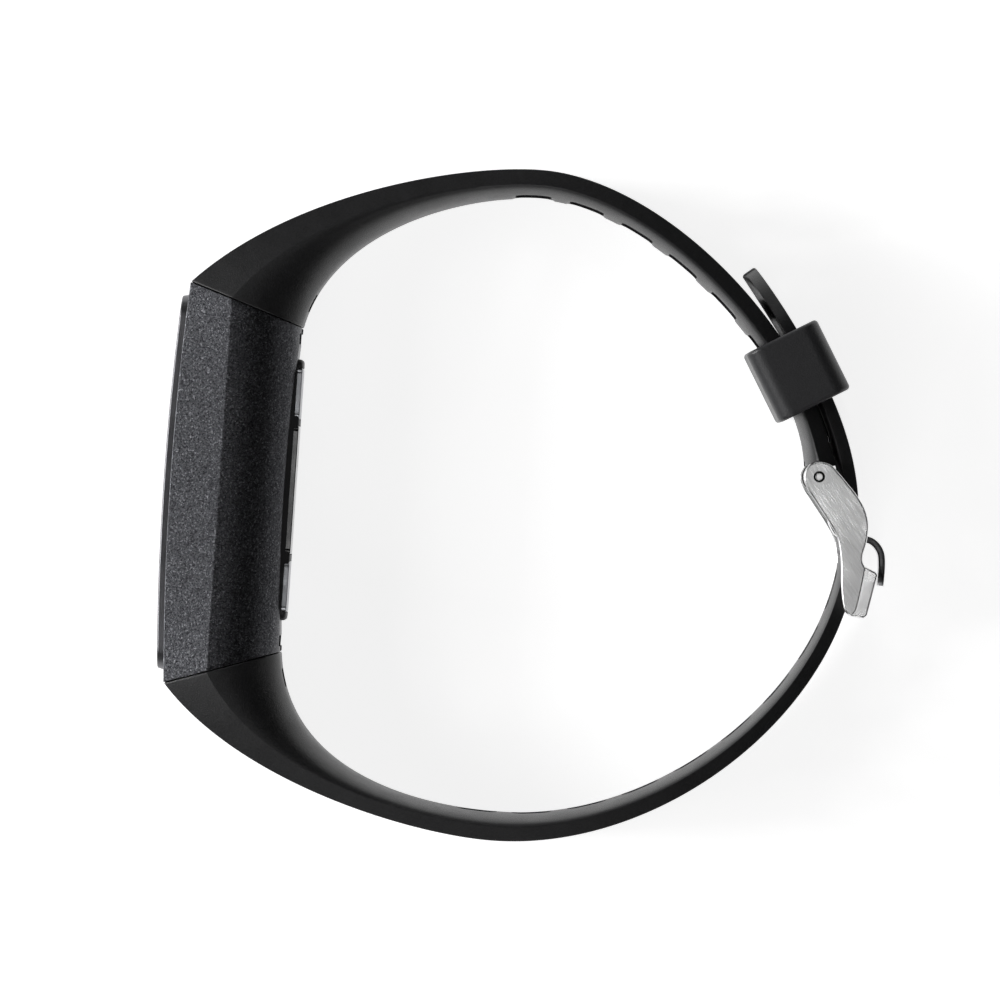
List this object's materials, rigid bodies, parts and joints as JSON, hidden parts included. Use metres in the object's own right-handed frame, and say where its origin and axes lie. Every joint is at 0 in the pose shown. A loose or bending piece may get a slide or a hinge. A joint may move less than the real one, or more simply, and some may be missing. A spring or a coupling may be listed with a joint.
{
  "type": "fitness tracker band",
  "caption": "Wrist fitness tracker: slim faceted case with a glass front and raised sensor back, on slotted silicone straps closed by a steel tang buckle and a sliding keeper.",
  "frame": {"origin": "middle of the lower side, on the surface the band lies on", "axes": "+X from the screen to the buckle, +Y along the tracker towards the buckle strap, +Z across the band's width"},
  "size_m": [0.0744, 0.0688, 0.0185],
  "materials": {
    "case_metal": "bead-blasted, dark anodised",
    "cover_glass": "polished black-backed glass",
    "silicone": "soft matte moulded silicone",
    "keeper_silicone": "soft matte moulded silicone",
    "buckle_steel": "brushed with polished edges",
    "bright_steel": "plain steel",
    "sensor_plastic": "fine moulded texture",
    "sensor_glass": "dark infrared-clear glass",
    "contact_steel": "satin stainless steel",
    "inner_plastic": "glass-filled plastic",
    "board_green": "solder mask",
    "chip_black": "moulded package",
    "flex_amber": "polyimide film",
    "cell_foil": "foil pouch",
    "antenna_gold": "plated strip",
    "seal_rubber": "closed-cell foam and rubber",
    "display_black": "display laminate",
    "diode_lens": "clear moulded lens"
  },
  "bodies": {
    "band": {"upper_strap": "silicone", "lower_strap": "silicone", "upper_connector": "inner_plastic", "lower_connector": "inner_plastic", "upper_latch_spring": "bright_steel", "lower_latch_spring": "bright_steel", "buckle_pin": "bright_steel"},
    "tracker": {"case_shell": "case_metal", "cover_glass": "cover_glass", "display_adhesive": "seal_rubber", "display_panel": "display_black", "midframe": "inner_plastic", "main_board": "board_green", "board_chips": "chip_black", "display_flex": "flex_amber", "battery": "cell_foil", "battery_lead": "flex_amber", "antenna": "antenna_gold", "frame_screws": "bright_steel", "motor_can": "bright_steel", "sensor_board": "board_green", "sensor_diodes": "diode_lens", "sensor_base": "sensor_plastic", "back_gasket": "seal_rubber", "sensor_window": "sensor_glass", "contact_pads": "contact_steel"},
    "motor": {"motor_rotor": "bright_steel"},
    "upper_latch": {"upper_latch_button": "sensor_plastic"},
    "lower_latch": {"lower_latch_button": "sensor_plastic"},
    "keeper": {"keeper_loop": "keeper_silicone"},
    "buckle": {"buckle_frame": "buckle_steel"},
    "tang": {"buckle_tang": "buckle_steel"}
  },
  "joints": [
    {"name": "tracker_release", "type": "slide", "parent": "band", "child": "tracker", "axis": [-1, 0, 0], "range_m": [0, 0.014], "deforming": ["upper_latch_spring", "lower_latch_spring"]},
    {"name": "motor_spin", "type": "hinge", "parent": "tracker", "child": "motor", "pos_m": [-0.0298, -0.0102, 0.00925], "axis": [0, 0, 1], "continuous": true},
    {"name": "upper_latch_press", "type": "slide", "parent": "band", "child": "upper_latch", "axis": [-1, 0, 0], "range_m": [0, 0.0006], "stiffness_N_per_m": 1200, "deforming": ["upper_latch_spring"]},
    {"name": "lower_latch_press", "type": "slide", "parent": "band", "child": "lower_latch", "axis": [-1, 0, 0], "range_m": [0, 0.0006], "stiffness_N_per_m": 1200, "deforming": ["lower_latch_spring"]},
    {"name": "keeper_slide", "type": "hinge", "parent": "band", "child": "keeper", "pos_m": [-0.00805, -0.00599, 0.00925], "axis": [0, 0, 1], "range_deg": [-2, 3.5]},
    {"name": "buckle_hinge", "type": "hinge", "parent": "band", "child": "buckle", "pos_m": [0.0296, 0.005, 0.00925], "axis": [0, 0, 1], "range_deg": [0, 4]},
    {"name": "tang_hinge", "type": "hinge", "parent": "buckle", "child": "tang", "pos_m": [0.0296, 0.005, 0.00925], "axis": [0, 0, 1], "range_deg": [0, 4]}
  ]
}
